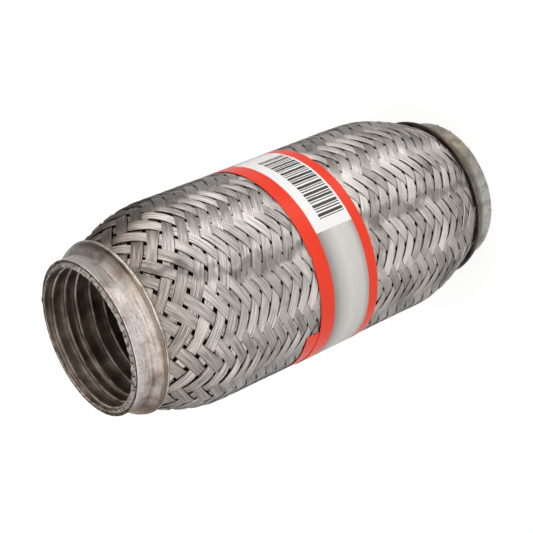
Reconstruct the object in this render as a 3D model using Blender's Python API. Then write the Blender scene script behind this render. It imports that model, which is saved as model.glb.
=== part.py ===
# Braided exhaust flex pipe. It stands on one end: axis along +Z, origin at the centre of its base.
# Sizes are in millimetres and become metres where a vertex is made.
import math

import bmesh
import bpy

MM = 0.001

# Whole pipe
pipe_length = 150.0
bore_radius = 22.5
fit_gap = 0.2
end_recess = 0.3

# Interlocked liner: one steel strip wound into a tube, its folded edge a thin lip at every turn
liner_pitch = 4.6
liner_lip = 0.35
liner_lip_width = 0.6
liner_wall = 0.3
liner_sides = 24

# Bellows: a thin gas-tight tube with deep round folds between two plain cuffs
bellows_sheet = 0.2
bellows_root_rise = 0.8
fold_height = 7.6
fold_pitch = 8.8
fold_lead = 3.0
cuff_length = 13.0
bellows_sides = 24

# Braid: two families of flat wire strands, each going over two and under two
strand_count = 24
strand_width = 3.3
strand_pitch = 4.0
braid_opening = 5.3
braid_wall = 1.2
braid_end_wall = 0.3
braid_clearance = 0.5
weave_depth = 0.7
shoulder_length = 24.0
open_rings = 2

# Collar: a pressed sheet ring at each end, plain at the mouth and flared beside the braid
collar_length = 9.7
collar_sheet = 0.8
barrel_length = 4.2
flare_length = 3.9
flare_rise = 2.65
hem_rise = 0.4
hem_length = 1.0
mouth_chamfer = 0.3

# Label: a printed film strip wound once round the braid, a little askew, its ends overlapping
label_drop = 59.0
label_width = 23.9
label_film = 0.2
label_press = 0.3
label_skew = 5.0
label_start = -142.0
label_overlap = 48.0
upper_border = 5.6
lower_border = 3.7
panel_end = 303.0
panel_length = 73.0

# Radii worked out from the bore outwards, each layer one fit gap from the next
liner_outer = bore_radius + liner_lip + liner_wall
bellows_cuff = liner_outer + fit_gap
bellows_root = bellows_cuff + bellows_root_rise
bellows_crest = bellows_root + fold_height
braid_cuff = bellows_cuff + bellows_sheet + fit_gap + braid_end_wall
braid_radius = bellows_crest + braid_clearance + braid_wall
collar_radius = braid_cuff + fit_gap + collar_sheet
flare_radius = collar_radius + flare_rise
pressed_radius = braid_radius - label_press

# The folds begin a little before the braid has reached its full radius
fold_start = collar_length + shoulder_length - fold_lead

# Crossings lie in straight rows along the pipe, two rows to each strand
row_count = 2 * strand_count
row_angle = 2.0 * math.pi / row_count
middle = 0.5 * pipe_length


def metal(name, colour, roughness, metallic):
    material = bpy.data.materials.new(name)
    material.use_nodes = True
    shader = material.node_tree.nodes["Principled BSDF"]
    shader.inputs["Base Color"].default_value = (*colour, 1.0)
    shader.inputs["Roughness"].default_value = roughness
    shader.inputs["Metallic"].default_value = metallic
    material.diffuse_color = (*colour, 1.0)
    return material


def finish(bm, name, materials, sharp_angle=35.0):
    bmesh.ops.recalc_face_normals(bm, faces=bm.faces)
    mesh = bpy.data.meshes.new(name)
    bm.to_mesh(mesh)
    bm.free()
    for material in materials:
        mesh.materials.append(material)
    mesh.shade_smooth()
    mesh.set_sharp_from_angle(angle=math.radians(sharp_angle))
    part = bpy.data.objects.new(name, mesh)
    bpy.context.collection.objects.link(part)
    return part


def chain(bm, outline, closed):
    # an outline of (radius, height) points in the plane of +X and +Z
    verts = [bm.verts.new((radius * MM, 0.0, height * MM)) for radius, height in outline]
    edges = [bm.edges.new(pair) for pair in zip(verts, verts[1:])]
    if closed:
        edges.append(bm.edges.new((verts[-1], verts[0])))
    return verts + edges


def turn(bm, geometry, sides, rise=0.0):
    # one turn round the pipe's axis, with an optional rise that makes it a screw
    bmesh.ops.spin(
        bm,
        geom=geometry,
        cent=(0.0, 0.0, 0.0),
        axis=(0.0, 0.0, 1.0),
        dvec=(0.0, 0.0, rise * MM / sides),
        angle=2.0 * math.pi,
        steps=sides,
    )
    bmesh.ops.remove_doubles(bm, verts=bm.verts, dist=0.001 * MM)


def ring(bm, radii, height):
    # one vertex to each row of crossings
    return [
        bm.verts.new((r * MM * math.cos(i * row_angle), r * MM * math.sin(i * row_angle), height * MM))
        for i, r in enumerate(radii)
    ]


def skin(bm, lower, upper):
    faces = []
    for i in range(row_count):
        corners = (lower[i - 1], lower[i], upper[i], upper[i - 1])
        faces.append(bm.faces.new(corners))
    return faces


def flare(depth):
    # how far the collar's sheet has swung out at this depth below the mouth
    t = min(1.0, max(0.0, (depth - barrel_length) / flare_length))
    return flare_rise * t * t * (3.0 - 2.0 * t)


# Depths below the mouth where the flared sheet bends, and those that the braid under it follows
bend_depths = [barrel_length + flare_length * share for share in (0.25, 0.5, 0.75, 1.0)]
seat_depths = [barrel_length, bend_depths[1], bend_depths[3], collar_length]


def make_collar(name, material, at_top):
    hem_start = collar_length - hem_length
    hem_radius = flare_radius + hem_rise
    outline = [
        (collar_radius - collar_sheet, 0.0),
        (collar_radius - mouth_chamfer, 0.0),
        (collar_radius, mouth_chamfer),
        (collar_radius, barrel_length),
    ]
    outline += [(collar_radius + flare(depth), depth) for depth in bend_depths]
    outline += [
        (flare_radius, hem_start),
        (hem_radius, hem_start + 0.3 * hem_length),
        (hem_radius, hem_start + 0.8 * hem_length),
        (flare_radius, collar_length),
    ]
    outline += [(collar_radius + flare(depth) - collar_sheet, depth) for depth in reversed(seat_depths)]
    if at_top:
        outline = [(radius, pipe_length - depth) for radius, depth in outline]
    bm = bmesh.new()
    turn(bm, chain(bm, outline, closed=True), row_count)
    return finish(bm, name, [material])


def make_liner(material):
    # the lips climb in a screw through both ends, then the ends are cut flat
    bm = bmesh.new()
    turns = range(-2, math.ceil(pipe_length / liner_pitch) + 2)
    outline = []
    for i in turns:
        outline.append((bore_radius, i * liner_pitch))
        outline.append((bore_radius + liner_lip, i * liner_pitch + liner_lip_width))
    turn(bm, chain(bm, outline, closed=False), liner_sides, rise=liner_pitch)
    end_heights = (end_recess, pipe_length - end_recess)
    for height, way in zip(end_heights, (-1.0, 1.0)):
        bmesh.ops.bisect_plane(
            bm,
            geom=bm.verts[:] + bm.edges[:] + bm.faces[:],
            dist=0.02 * MM,
            plane_co=(0.0, 0.0, height * MM),
            plane_no=(0.0, 0.0, way),
            clear_outer=True,
        )
    # the plain outside, joined to the cut ends
    outside = [(liner_outer, height) for height in end_heights]
    turn(bm, chain(bm, outside, closed=False), liner_sides)
    for height in end_heights:
        rim = [
            edge for edge in bm.edges
            if edge.is_boundary and all(abs(v.co.z - height * MM) < 0.05 * MM for v in edge.verts)
        ]
        bmesh.ops.triangle_fill(bm, use_beauty=True, edges=rim)
    return finish(bm, "interlock_liner", [material])


def make_bellows(material):
    # the middle of the sheet, which Solidify then thickens by half each way
    half = 0.5 * bellows_sheet
    cuff = bellows_cuff + half
    root = bellows_root + half
    crest = bellows_crest - half
    folded = pipe_length - 2.0 * fold_start
    count = max(1, round(folded / fold_pitch))
    pitch = folded / count
    outline = [(cuff, end_recess), (cuff, cuff_length)]
    for i in range(count):
        base = fold_start + i * pitch
        outline += [(root, base + 0.12 * pitch), (crest, base + 0.3 * pitch)]
        outline += [(crest, base + 0.7 * pitch), (root, base + 0.88 * pitch)]
    outline += [(cuff, pipe_length - cuff_length), (cuff, pipe_length - end_recess)]
    bm = bmesh.new()
    turn(bm, chain(bm, outline, closed=False), bellows_sides)
    bellows = finish(bm, "bellows", [material])
    wall = bellows.modifiers.new("sheet", "SOLIDIFY")
    wall.thickness = bellows_sheet * MM
    wall.offset = 0.0
    wall.use_even_offset = True
    return bellows


def braid_face(depth):
    # outer radius of the braid at a depth below the nearer mouth
    leaving = braid_cuff + flare_rise
    if depth <= collar_length:
        return braid_cuff + flare(depth)
    t = min(1.0, (depth - collar_length) / shoulder_length)
    return leaving + (braid_radius - leaving) * math.sin(0.5 * math.pi * t)


def braid_steps():
    # heights of the half pitches from mid length: even in the middle, wider towards the collars
    reach = middle - collar_length + 0.5 * strand_pitch
    half_count = round(2.0 * (reach - braid_opening) / strand_pitch)
    even = (reach - braid_opening) / half_count
    heights = {}
    for step in range(-half_count, half_count + 1):
        rise = even * abs(step) + braid_opening * (abs(step) / half_count) ** 5
        if rise < middle - collar_length - 0.2 * strand_pitch:
            heights[step] = middle + math.copysign(rise, step)
    return heights


def is_gap(row, step):
    return (row + step) % 2 == 0


def gap_share(depth, half_pitch):
    # what the strands leave open between two of the same family, as a share of their spacing
    radius = braid_face(depth)
    lean = math.atan2(radius * row_angle, half_pitch)
    spacing = 2.0 * radius * row_angle * math.cos(lean)
    return 1.0 - strand_width / spacing


def follows_ridge(row, step):
    # rows 2 and 3 of each four show the strands that climb anticlockwise, rows 0 and 1 the others
    climbs_anticlockwise = not is_gap(row, step)
    return row % 4 == (2 if climbs_anticlockwise else 0)


def make_braid(material):
    heights = braid_steps()
    last = max(heights)
    label_high = pipe_length - label_drop
    label_low = label_high - label_width - label_skew * (1.0 + label_overlap / 360.0)
    hidden_low = label_high - label_width + strand_pitch
    hidden_high = label_low + label_width - strand_pitch
    bm = bmesh.new()

    # outer face: crossings stand out and gaps lie deeper, plain where collars or label hide it
    outer = {}
    for step, z in heights.items():
        if not hidden_low < z < hidden_high:
            face = braid_face(min(z, pipe_length - z))
            if label_low - strand_pitch < z < label_high + strand_pitch:
                face = min(face, pressed_radius)
            deep = braid_face(min(z, pipe_length - z)) - weave_depth
            radii = [deep if is_gap(row, step) else face for row in range(row_count)]
            outer[z] = (step, ring(bm, radii, z))
    for z in (hidden_low, hidden_high):
        outer[z] = (None, ring(bm, [pressed_radius] * row_count, z))
    for depth in [end_recess] + seat_depths:
        for z in (depth, pipe_length - depth):
            outer[z] = (None, ring(bm, [braid_face(depth)] * row_count, z))

    # inner face: plain, with a ring of vertices behind each ring of open gaps
    inner = {}
    for depth in (end_recess, barrel_length, bend_depths[3]):
        for z in (depth, pipe_length - depth):
            inner[z] = ring(bm, [braid_face(depth) - braid_end_wall] * row_count, z)
    for step in range(last - open_rings + 1, last + 1):
        for z in (heights[step], heights[-step]):
            depth = min(z, pipe_length - z)
            inner[z] = ring(bm, [braid_face(depth) - braid_wall] * row_count, z)
    for share in (0.65, 1.0):
        depth = collar_length + share * shoulder_length
        for z in (depth, pipe_length - depth):
            inner[z] = ring(bm, [braid_face(depth) - braid_wall] * row_count, z)

    outer_order = sorted(outer)
    inner_order = sorted(inner)
    woven = []
    for low, high in zip(outer_order, outer_order[1:]):
        faces = skin(bm, outer[low][1], outer[high][1])
        step, above = outer[low][0], outer[high][0]
        if step is not None and above == step + 1:
            woven += [(face, (i - 1) % row_count, step) for i, face in enumerate(faces)]
    for low, high in zip(inner_order, inner_order[1:]):
        skin(bm, inner[low], inner[high])
    skin(bm, outer[outer_order[0]][1], inner[inner_order[0]])
    skin(bm, outer[outer_order[-1]][1], inner[inner_order[-1]])

    # fold each face along the strand that shows, or along the slit between two strands
    pierced_steps = [sign * (last - i) for i in range(open_rings) for sign in (-1, 1)]
    for face, row, step in woven:
        if step in pierced_steps or step + 1 in pierced_steps:
            continue
        low_left, low_right, high_right, high_left = face.verts
        crossing_below_left = not is_gap(row, step)
        if crossing_below_left == follows_ridge(row, step):
            bmesh.utils.face_split(face, low_left, high_right)
        else:
            bmesh.utils.face_split(face, low_right, high_left)

    # open the gaps nearest the collars right through the wall
    for step in pierced_steps:
        z = heights[step]
        depth = min(z, pipe_length - z)
        share = gap_share(depth, abs(z - heights[step - int(math.copysign(1, step))]))
        for row in range(row_count):
            if is_gap(row, step):
                pierce(bm, outer[z][1][row], inner[z][row], share)
    return finish(bm, "wire_braid", [material], sharp_angle=60.0)


def pierce(bm, outer_vert, inner_vert, share):
    mouths = []
    for vert in (outer_vert, inner_vert):
        cut = bmesh.ops.bevel(
            bm,
            geom=[vert],
            offset=100.0 * share,
            offset_type="PERCENT",
            affect="VERTICES",
            segments=1,
            profile=0.5,
            material=-1,
        )
        corners = set(cut["verts"])
        mouths += [face for face in cut["faces"] if corners.issuperset(face.verts)]
    rims = [edge for face in mouths for edge in face.edges]
    bmesh.ops.delete(bm, geom=mouths, context="FACES_ONLY")
    bmesh.ops.bridge_loops(bm, edges=rims)


def make_label(materials):
    # a strip swept clockwise from its start; the last stretch lies over the first
    row_degrees = math.degrees(row_angle)
    sweep = 360.0 + label_overlap
    panel_start = panel_end - panel_length
    marks = [0.0, panel_start, panel_end, sweep]
    stations = list(marks)
    for i in range(-2 * row_count, row_count):
        line = label_start - i * row_degrees
        if 0.0 < line < sweep and min(abs(line - mark) for mark in marks) > 0.2 * row_degrees:
            stations.append(line)
    stations.sort()
    lift = label_film + fit_gap
    lifted_from = 360.0 - 2.0 * row_degrees
    fields = (0.0, lower_border, label_width - upper_border, label_width)
    bm = bmesh.new()
    loops = []
    for swept in stations:
        climb = min(1.0, max(0.0, (swept - lifted_from) / row_degrees))
        low = pipe_length - label_drop - label_width - label_skew * swept / 360.0
        near = pressed_radius + fit_gap + lift * climb
        angle = math.radians(label_start - swept)
        across = math.cos(angle), math.sin(angle)
        points = [(near + label_film, low + field) for field in fields]
        points += [(near, low + label_width), (near, low)]
        loops.append([bm.verts.new((r * MM * across[0], r * MM * across[1], z * MM)) for r, z in points])
    colours = (1, 0, 1)
    for i, (a, b) in enumerate(zip(loops, loops[1:])):
        in_panel = panel_start <= stations[i] < panel_end
        for j in range(len(a)):
            k = (j + 1) % len(a)
            face = bm.faces.new((a[j], a[k], b[k], b[j]))
            if j < len(colours):
                face.material_index = 2 if in_panel and j == 1 else colours[j]
    bm.faces.new(loops[0])
    bm.faces.new(loops[-1])
    return finish(bm, "label_band", materials)


for old in list(bpy.data.objects):
    bpy.data.objects.remove(old, do_unlink=True)

collar_steel = metal("pressed collar steel", (0.56, 0.51, 0.46), 0.38, 1.0)
braid_steel = metal("braided steel wire", (0.66, 0.65, 0.64), 0.35, 1.0)
bellows_steel = metal("thin bellows steel", (0.42, 0.40, 0.38), 0.4, 1.0)
liner_steel = metal("oiled strip steel", (0.22, 0.19, 0.17), 0.45, 1.0)
silver_film = metal("silver film", (0.62, 0.64, 0.65), 0.35, 0.4)
red_print = metal("red print", (0.87, 0.06, 0.02), 0.4, 0.0)
white_print = metal("white print", (0.85, 0.85, 0.85), 0.45, 0.0)

make_collar("lower_collar", collar_steel, at_top=False)
make_collar("upper_collar", collar_steel, at_top=True)
make_liner(liner_steel)
make_bellows(bellows_steel)
make_braid(braid_steel)
make_label([silver_film, red_print, white_print])
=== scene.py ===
import math

import bmesh
import bpy
import numpy as np
from mathutils import Matrix, Vector, noise


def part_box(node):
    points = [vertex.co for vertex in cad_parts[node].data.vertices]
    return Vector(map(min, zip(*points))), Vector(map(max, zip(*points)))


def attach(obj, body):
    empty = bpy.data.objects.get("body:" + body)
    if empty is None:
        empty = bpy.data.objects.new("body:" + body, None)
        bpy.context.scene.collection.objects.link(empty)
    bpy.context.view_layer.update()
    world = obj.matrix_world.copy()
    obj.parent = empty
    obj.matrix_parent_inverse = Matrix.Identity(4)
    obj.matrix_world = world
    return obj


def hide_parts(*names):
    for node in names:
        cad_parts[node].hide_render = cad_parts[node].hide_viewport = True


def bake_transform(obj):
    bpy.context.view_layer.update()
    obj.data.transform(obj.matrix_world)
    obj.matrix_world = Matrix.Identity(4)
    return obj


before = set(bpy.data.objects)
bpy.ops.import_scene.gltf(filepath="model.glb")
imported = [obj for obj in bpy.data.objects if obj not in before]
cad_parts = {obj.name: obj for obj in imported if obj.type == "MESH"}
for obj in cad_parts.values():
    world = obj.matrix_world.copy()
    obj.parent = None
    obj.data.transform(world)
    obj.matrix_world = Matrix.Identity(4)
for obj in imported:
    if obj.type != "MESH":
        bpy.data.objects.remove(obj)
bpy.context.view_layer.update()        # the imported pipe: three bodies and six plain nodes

mm = 0.001


def sizeOf(node):
    low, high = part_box(node)
    return [(b - a) / mm for a, b in zip(low, high)]


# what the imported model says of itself
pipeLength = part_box("upper_collar")[1].z / mm
collarLength = sizeOf("upper_collar")[2]
crestRadius = 0.5 * sizeOf("upper_collar")[0]
braidRadius = 0.5 * sizeOf("wire_braid")[0]
middle = 0.5 * pipeLength


# Colours and nodes
def hexColour(code):
    # sRGB hex to the linear values a shader wants
    channels = [int(code[i:i + 2], 16) / 255 for i in (1, 3, 5)]
    linear = [c / 12.92 if c <= 0.04045 else ((c + 0.055) / 1.055) ** 2.4 for c in channels]
    return (*linear, 1.0)


def addNode(tree, kind, settings=None, inputs=None):
    # each input is a value, or another node's output to be linked to it
    node = tree.nodes.new(kind)
    for name, value in (settings or {}).items():
        setattr(node, name, value)
    for socket, source in (inputs or {}).items():
        if isinstance(source, bpy.types.NodeSocket):
            tree.links.new(source, node.inputs[socket])
        else:
            node.inputs[socket].default_value = source
    return node


def ramped(tree, value, stops, interpolation="LINEAR"):
    # stops are (place from 0 to 1, sRGB hex)
    node = addNode(tree, "ShaderNodeValToRGB", inputs={"Fac": value})
    node.color_ramp.interpolation = interpolation
    elements = node.color_ramp.elements
    while len(elements) < len(stops):
        elements.new(0.5)
    for element, (place, code) in zip(elements, stops):
        element.position = place
        element.color = hexColour(code)
    return node.outputs["Color"]


def calculated(tree, operation, *terms):
    node = addNode(tree, "ShaderNodeMath", {"operation": operation}, dict(enumerate(terms)))
    return node.outputs["Value"]


def vectored(tree, operation, *terms):
    return addNode(tree, "ShaderNodeVectorMath", {"operation": operation}, dict(enumerate(terms))).outputs


def ranged(tree, value, fromLow, fromHigh, toLow=0.0, toHigh=1.0, kind="LINEAR"):
    inputs = {"Value": value, "From Min": fromLow, "From Max": fromHigh, "To Min": toLow, "To Max": toHigh}
    return addNode(tree, "ShaderNodeMapRange", {"interpolation_type": kind}, inputs).outputs["Result"]


def cellsOf(size):
    # noise scale for cells of a size in millimetres
    return 1.0 / (size * mm)


def clouded(tree, vector, scale, detail):
    inputs = {"Vector": vector, "Scale": scale, "Detail": detail}
    return addNode(tree, "ShaderNodeTexNoise", inputs=inputs).outputs["Fac"]


def blended(tree, share, first, second, way="MIX"):
    inputs = {"Factor": share, "A": first, "B": second}
    node = addNode(tree, "ShaderNodeMix", {"data_type": "RGBA", "blend_type": way}, inputs)
    return node.outputs["Result"]


def multiplied(tree, first, second):
    return blended(tree, 1.0, first, second, "MULTIPLY")


def placeOn(tree):
    # where a point lies on the pipe, in metres: the whole vector, and its axes
    place = addNode(tree, "ShaderNodeTexCoord").outputs["Object"]
    return place, addNode(tree, "ShaderNodeSeparateXYZ", inputs={"Vector": place}).outputs


def turnOf(tree, axes):
    return calculated(tree, "ARCTAN2", axes["Y"], axes["X"])


def bumped(tree, shader, height, strength, distance):
    inputs = {"Height": height, "Strength": strength, "Distance": distance * mm}
    bump = addNode(tree, "ShaderNodeBump", inputs=inputs)
    tree.links.new(bump.outputs["Normal"], shader.inputs["Normal"])


def newMaterial(name, colour, metallic, roughness, anisotropic=0.0):
    material = bpy.data.materials.new(name)
    material.use_nodes = True
    shader = material.node_tree.nodes["Principled BSDF"]
    values = {"Metallic": metallic, "Roughness": roughness, "Anisotropic": anisotropic}
    for socket, value in {"Base Color": hexColour(colour), **values}.items():
        shader.inputs[socket].default_value = value
    return material, material.node_tree, shader


def mottledSteel(name, colour, roughness, size, detail, stops):
    # steel whose colour wanders through the stops in cells of a size in millimetres
    material, tree, shader = newMaterial(name, colour, 1.0, roughness)
    cells = clouded(tree, placeOn(tree)[0], cellsOf(size), detail)
    tree.links.new(ramped(tree, cells, stops), shader.inputs["Base Color"])
    return material, tree, shader, cells


# Meshes
def smoothStep(share):
    share = np.clip(share, 0.0, 1.0)
    return share * share * (3.0 - 2.0 * share)


def lathe(bm, outline, sides, closed=True, rise=0.0):
    # outline is (radius, height) in millimetres; a rise makes the turn a screw
    verts = [bm.verts.new((radius * mm, 0.0, height * mm)) for radius, height in outline]
    edges = [bm.edges.new(pair) for pair in zip(verts, verts[1:])]
    if closed:
        edges.append(bm.edges.new((verts[-1], verts[0])))
    bmesh.ops.spin(
        bm,
        geom=verts + edges,
        cent=(0.0, 0.0, 0.0),
        axis=(0.0, 0.0, 1.0),
        dvec=(0.0, 0.0, rise * mm / sides),
        angle=2.0 * math.pi,
        steps=sides,
        use_merge=rise == 0.0,
    )
    if rise:
        bmesh.ops.remove_doubles(bm, verts=bm.verts, dist=0.002 * mm)


def cutAt(bm, height, way):
    # keeps what lies below the height for way 1, and what lies above it for way -1
    bmesh.ops.bisect_plane(
        bm,
        geom=bm.verts[:] + bm.edges[:] + bm.faces[:],
        dist=0.002 * mm,
        plane_co=(0.0, 0.0, height * mm),
        plane_no=(0.0, 0.0, way),
        clear_outer=True,
    )


def faceOut(bm):
    bmesh.ops.recalc_face_normals(bm, faces=bm.faces)


def thicken(bm, sheet):
    faceOut(bm)
    bmesh.ops.solidify(bm, geom=bm.faces[:], thickness=sheet * mm)
    faceOut(bm)


def rotation(degrees, axis):
    return Matrix.Rotation(math.radians(degrees), 4, axis)


def meshOf(bm, name):
    mesh = bpy.data.meshes.new(name)
    bm.to_mesh(mesh)
    bm.free()
    return mesh


def addObject(name, data):
    made = bpy.data.objects.new(name, data)
    bpy.context.collection.objects.link(made)
    return made


def finishPiece(bm, name, materials, sharpAngle=40.0):
    mesh = meshOf(bm, name)
    points = np.zeros(3 * len(mesh.vertices), np.float32)
    mesh.vertices.foreach_get("co", points)
    mesh.vertices.foreach_set("co", setAside(points.reshape(-1, 3)).ravel())
    for material in materials:
        mesh.materials.append(material)
    mesh.shade_smooth()
    mesh.set_sharp_from_angle(angle=math.radians(sharpAngle))
    piece = addObject(name, mesh)
    return piece


# The pipe has also taken a slight set, which carries its ends aside by up to about a millimetre.
flex = {
    "start": 12.0,
    "end": 58.0,
    "upperReach": 70.0,
    "lowerReach": 45.0,
    "upperSet": (0.46, -0.36),
    "lowerSet": (-0.9, 0.7),
}


def setAside(points):
    # points are in metres, one row each
    height = points[:, 2] / mm
    up = smoothStep((height - pipeLength) / flex["upperReach"] + 1.0)
    down = smoothStep(1.0 - height / flex["lowerReach"])
    for axis in (0, 1):
        points[:, axis] += (up * flex["upperSet"][axis] + down * flex["lowerSet"][axis]) * mm
    return points


def bendWith(piece, upper):
    if upper:
        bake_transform(piece)
    else:
        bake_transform(piece)


# Woven sleeve: 24 flat strands climb each way, over two and under two, each of nine drawn wires
sleeve = {
    "strands": 24,
    "strandWidth": 3.03,
    "wires": 9,
    "wireRise": 0.15,
    "underside": 0.18,
    "camber": 0.04,
    "swing": 0.30,            # how far a strand swings out over and in under the others
    "squareness": 1.8,        # higher makes the floats flatter and the dives steeper
    "centre": 0.45,           # how far above the middle the rows of crossings are counted from
    "halfPitch": {"upper": 2.0, "lower": 2.05},
    "opening": {"upper": 0.9, "lower": 0.3},      # extra pitch beside the collars
    "openingStart": 23.8,
    "openingEase": 1.2,
    "halfSteps": {"upper": 32, "lower": 34},
    "samples": 4,
    "rowTurn": 0.5,
    "twist": 2.0,             # turn of the weave over the whole length
    "cuffRadius": 24.05,
    "shoulder": {"upper": 22.5, "lower": 24.0},
    "wander": 0.10,
    "wanderAtCollar": 0.50,
    "shiver": 0.35,           # quicker wandering, as a share of the slow one
    "spread": 0.033,          # share by which a strand fans out or draws in
    "spreadAtCollar": 0.165,
    "onset": 6,               # higher keeps the untidy lay closer to the collars
    "fanned": 0.17,           # extra width at the collars
    "roll": 2.2,
    # speeds of each strand's slow wandering, in radians per half pitch
    "driftSpeeds": {
        "fan": (0.5, 1.1, 1.9),
        "loose": (0.7, 1.5, 2.3),
        "wander": (0.23, 0.61, 1.33),
        "shiver": (0.9, 1.7),
        "lean": (0.31, 0.83, 1.9),
    },
    "swingStart": 5.0,        # the weave flattens out under the collars
    "swingEase": 4.0,
    "looseSteps": 8,          # a stray wire runs beside each edge of a strand for so many half pitches
    "looseRadius": 0.15,
    "looseGap": 0.1,
    "looseSwing": 0.45,
    "looseLift": 0.05,
    "looseDive": 0.5,         # its inner end dives between the strands
    "looseCoordinate": 0.2,
    "stagger": 7.0,           # the strands' own coordinates lie this far apart
    "wireTones": [(0.36, "#847d78"), (0.46, "#b2aba6"), (0.56, "#cfc8c3"), (0.68, "#eae3dd")],
    # share of the height, and the angle there, that a painted dark reflection passes through
    "darkReflection": [
        (0.0, -96.0), (0.3, -91.0), (0.62, -88.0), (0.77, -86.5),
        (0.85, -76.5), (0.93, -64.0), (1.0, -50.0),
    ],
    "darkReflectionWaves": 0.36,
    "darkReflectionTone": 0.56,
    # darker beside the open collar: it thins out between two depths; its tints go once round the sleeve
    "darkening": {"from": 11.0, "to": 30.0, "tints": [
        (0.0, "#e8e3df"), (0.1, "#ede8e4"), (0.167, "#efeae6"), (0.222, "#ece7e2"), (0.278, "#dbd5d0"),
        (0.333, "#cfc8c2"), (0.389, "#cfc8c2"), (0.444, "#ded8d3"), (0.7, "#e8e3df"), (1.0, "#e8e3df"),
    ]},
    # and a darker, longer patch of it on one side
    "sideDarkening": {"from": 25.0, "to": 58.0, "tints": [
        (0.0, "#ffffff"), (0.37, "#ffffff"), (0.4, "#dddad7"), (0.43, "#aaa6a3"), (0.5, "#aaa6a3"),
        (0.6, "#ffffff"),
    ]},
    "seed": 11,
}
rowCount = 2 * sleeve["strands"]
rowAngle = 2.0 * math.pi / rowCount

# Collar: one pressed ring of sheet, plain at the mouth, flared over the sleeve, with a thin hem
collar = {
    "mouthRadius": 25.05,
    "sheet": 0.8,
    "barrel": 4.2,
    "flareLength": 3.9,
    "flareRise": 2.65,
    "hemStart": 8.5,
    # corners of the mouth: how far outside the sheet's face, and how far below the mouth
    "innerCorner": [(0.0, 0.2), (0.05, 0.0)],
    "outerCorner": [(-0.2, 0.0), (-0.06, 0.07), (0.0, 0.22)],
    "flareSteps": 14,
    "hemSteps": 8,
    "sides": 240,
    "dents": 0.07,
    "bandWaves": 1.2,         # how far patches shift the bands, in millimetres
    "turnWaves": 0.5,         # and the tints, in radians
    "patchTones": [(0.3, "#b3a9a3"), (0.4, "#dfd9d4"), (0.5, "#fbf9f7"), (0.6, "#ffffff")],
    # where round the upper ring the bands give way to their copy darkened as painted shade
    "shadedTurn": [(0.29, "#000000"), (0.33, "#ffffff"), (0.47, "#ffffff"), (0.5, "#000000")],
    # colours from the mouth, 0, to the hem, 1: brown heat tint, with dark lines painted as shade at the
    # steps and, on the upper collar, a light line painted along the hem as its highlight
    "upperBands": [
        (0.0, "#fdf9f9"), (0.44, "#fcf8f7"), (0.5, "#b2aaa6"), (0.54, "#c0b9b5"), (0.59, "#e6e0dd"),
        (0.7, "#dcd6d1"), (0.78, "#ada199"), (0.86, "#a5988f"), (0.9, "#7a6e66"), (0.93, "#f4efea"),
        (1.0, "#e6e0da"),
    ],
    # the upper bands darkened as painted shade, for that side
    "shadedBands": [
        (0.0, "#faf6f6"), (0.43, "#e9e5e3"), (0.5, "#9f9894"), (0.56, "#aba4a0"), (0.62, "#aea7a3"),
        (0.7, "#8d8581"), (0.78, "#625b56"), (0.85, "#6d6661"), (0.9, "#c9c4bf"), (0.93, "#f6f2ee"),
        (1.0, "#cfc9c4"),
    ],
    "lowerBands": [
        (0.0, "#e6e8e5"), (0.42, "#e0e2df"), (0.47, "#a39f9b"), (0.51, "#d6d3cf"), (0.62, "#cfcac5"),
        (0.68, "#8a827b"), (0.72, "#c0b8b1"), (0.79, "#b2a9a1"), (0.83, "#746b64"), (0.87, "#aea49b"),
        (0.91, "#6f665f"), (0.94, "#a69c93"), (0.97, "#4c4643"), (1.0, "#5f5752"),
    ],
    # tints round the ring, from one whole turn's start, 0, to its end, 1: heat tint, and on the upper ring
    # a darker stretch of painted shade on its shaded side
    "upperTints": [
        (0.0, "#c0a28c"), (0.04, "#97796a"), (0.075, "#efe9e4"), (0.25, "#f6f4f3"), (0.285, "#ebe8e5"),
        (0.31, "#e9e5e0"), (0.33, "#dedad5"), (0.4, "#e2deda"), (0.5, "#efedeb"), (0.9, "#f0ebe6"),
        (1.0, "#c0a28c"),
    ],
    "lowerTints": [
        (0.0, "#f0f2f0"), (0.165, "#f0f2f0"), (0.175, "#cfcfcd"), (0.185, "#f0f2f0"), (0.23, "#f0f2f0"),
        (0.245, "#c4c1bd"), (0.26, "#e6e2dd"), (0.285, "#d2ccc6"), (0.3, "#a8a099"), (0.315, "#b9aea3"),
        (0.335, "#c9bba5"), (0.345, "#8d8177"), (0.355, "#b5aa9c"), (0.39, "#aca5a0"), (0.45, "#e2dfdb"),
        (1.0, "#f0f2f0"),
    ],
}

# Label: a film strip wound once round the sleeve, slightly askew, its end lapped over its start
label = {
    "drop": 59.0,
    "width": 23.9,
    "upperBorder": 5.6,
    "lowerBorder": 3.7,
    "skew": 5.0,
    "start": -142.0,
    "overlap": 48.0,
    "radius": 33.42,
    "film": 0.12,
    "relief": 0.05,
    "panelStart": 230.0,
    "panelEnd": 303.0,
    "press": 0.35,
    "barGroups": 4,           # plain bars on the panel, in alike groups
    "barStart": 243.5,
    "barEnd": 297.5,
    "barLow": 4.4,
    "barHigh": 14.4,
    "nicks": [(315.3, 1.0, 0.4), (322.0, 0.0, 0.3), (337.0, 0.0, 0.35)],      # degrees round, side, depth
    "lapStart": 348.0,
    "lapEase": 14.0,
    # each bar's start and end within its group
    "bars": [
        (0.0, 0.06), (0.1, 0.22), (0.27, 0.32), (0.41, 0.54), (0.58, 0.63), (0.69, 0.75), (0.82, 0.95),
    ],
    "barTone": "#3d3a38",
    "panelTone": "#fdfbf9",
    "silver": ["#a8a4a0", "#d6d1cc", "#dedad5", "#c5c0bb", "#928e8a"],
    "red": "#f63710",
}
labelSweep = 360.0 + label["overlap"]


def flareAt(depth):
    return collar["flareRise"] * smoothStep((depth - collar["barrel"]) / collar["flareLength"])


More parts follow.
